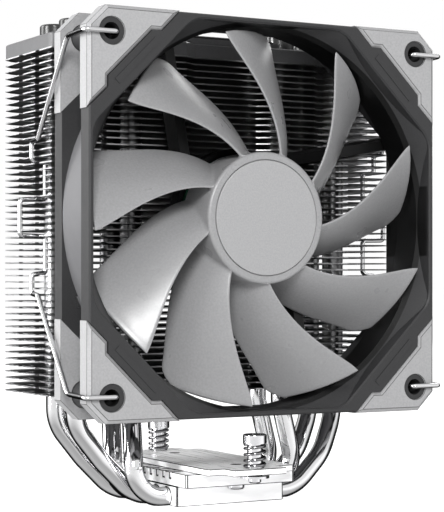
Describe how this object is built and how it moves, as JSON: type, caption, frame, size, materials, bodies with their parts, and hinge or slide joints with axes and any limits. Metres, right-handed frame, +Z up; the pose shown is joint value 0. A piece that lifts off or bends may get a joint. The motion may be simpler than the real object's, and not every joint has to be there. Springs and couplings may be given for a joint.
{
  "type": "cpu tower cooler",
  "caption": "Tower heatsink for a computer processor: bent heat pipes through a stack of thin fins, with a square axial fan held on by wire clips and spring screws in its base.",
  "frame": {"origin": "centre of the flat underside of the base, which presses on the processor", "axes": "+Z up along the tower, -Y towards the fan's intake face, +X to the right when the fan is seen from the front"},
  "size_m": [0.1322, 0.082, 0.1497],
  "materials": {
    "base_plate": "nickel-plated copper, milled",
    "base_block": "fine satin",
    "heat_pipes": "bright nickel plate",
    "fins": "nickel-plated sheet, satin",
    "top_cover": "fine satin grey",
    "caps": "satin black",
    "bridge": "nickel-plated steel",
    "screws": "bright steel",
    "springs": "spring steel",
    "frame": "fine-grained dark grey",
    "pads": "light grey soft rubber",
    "bearing": "sintered",
    "laminations": "coated sheet steel",
    "windings": "enamelled copper",
    "board": "solder mask",
    "label": "blank satin label",
    "impeller": "fine-grained mid grey",
    "hub_disc": "bead-blasted",
    "yoke": "drawn steel",
    "magnet": "bonded ferrite",
    "clips": "bright spring wire"
  },
  "bodies": {
    "heatsink": {"contact_base": "base_plate", "grooved_block": "base_block", "heat_pipe_1": "heat_pipes", "heat_pipe_2": "heat_pipes", "heat_pipe_3": "heat_pipes", "heat_pipe_4": "heat_pipes", "cooling_fins": "fins", "top_cover": "top_cover", "cover_badge": "caps", "pipe_caps": "caps", "mounting_bridge": "bridge", "bridge_screws": "screws", "front_screw_spring": "springs", "rear_screw_spring": "springs"},
    "fan": {"fan_frame": "frame", "front_pad_top_left": "pads", "front_pad_top_right": "pads", "front_pad_bottom_left": "pads", "front_pad_bottom_right": "pads", "rear_pad_top_left": "pads", "rear_pad_top_right": "pads", "rear_pad_bottom_left": "pads", "rear_pad_bottom_right": "pads", "bearing_sleeve": "bearing", "stator_core": "laminations", "stator_coils": "windings", "circuit_board": "board", "rear_label": "label"},
    "rotor": {"impeller": "impeller", "hub_disc": "hub_disc", "rotor_yoke": "yoke", "magnet_ring": "magnet", "fan_shaft": "screws", "shaft_washer": "screws"},
    "left_clip": {"left_wire_clip": "clips"},
    "right_clip": {"right_wire_clip": "clips"},
    "front_screw_slider": {"front_retaining_clip": "screws"},
    "front_screw": {"front_spring_screw": "screws"},
    "rear_screw_slider": {"rear_retaining_clip": "screws"},
    "rear_screw": {"rear_spring_screw": "screws"}
  },
  "joints": [
    {"name": "fan_height", "type": "slide", "parent": "heatsink", "child": "fan", "axis": [0, 0, 1], "range_m": [-0.004, 0.03]},
    {"name": "impeller_spin", "type": "hinge", "parent": "fan", "child": "rotor", "pos_m": [0, -0.0428, 0.08865], "axis": [0, -1, 0], "continuous": true},
    {"name": "left_clip_swing", "type": "hinge", "parent": "fan", "child": "left_clip", "pos_m": [-0.0513, -0.04395, 0.08865], "axis": [0, 0, 1], "range_deg": [0, 50]},
    {"name": "right_clip_swing", "type": "hinge", "parent": "fan", "child": "right_clip", "pos_m": [0.0513, -0.04395, 0.08865], "axis": [0, 0, -1], "range_deg": [0, 50]},
    {"name": "front_screw_press", "type": "slide", "parent": "heatsink", "child": "front_screw_slider", "axis": [0, 0, -1], "range_m": [0, 0.003], "stiffness_N_per_m": 6000, "springref_m": -0.002, "deforming": ["front_screw_spring"]},
    {"name": "front_screw_turn", "type": "hinge", "parent": "front_screw_slider", "child": "front_screw", "pos_m": [0, -0.0329, 0.015], "axis": [0, 0, 1], "continuous": true},
    {"name": "rear_screw_press", "type": "slide", "parent": "heatsink", "child": "rear_screw_slider", "axis": [0, 0, -1], "range_m": [0, 0.003], "stiffness_N_per_m": 6000, "springref_m": -0.002, "deforming": ["rear_screw_spring"]},
    {"name": "rear_screw_turn", "type": "hinge", "parent": "rear_screw_slider", "child": "rear_screw", "pos_m": [0, 0.0329, 0.015], "axis": [0, 0, 1], "continuous": true}
  ]
}
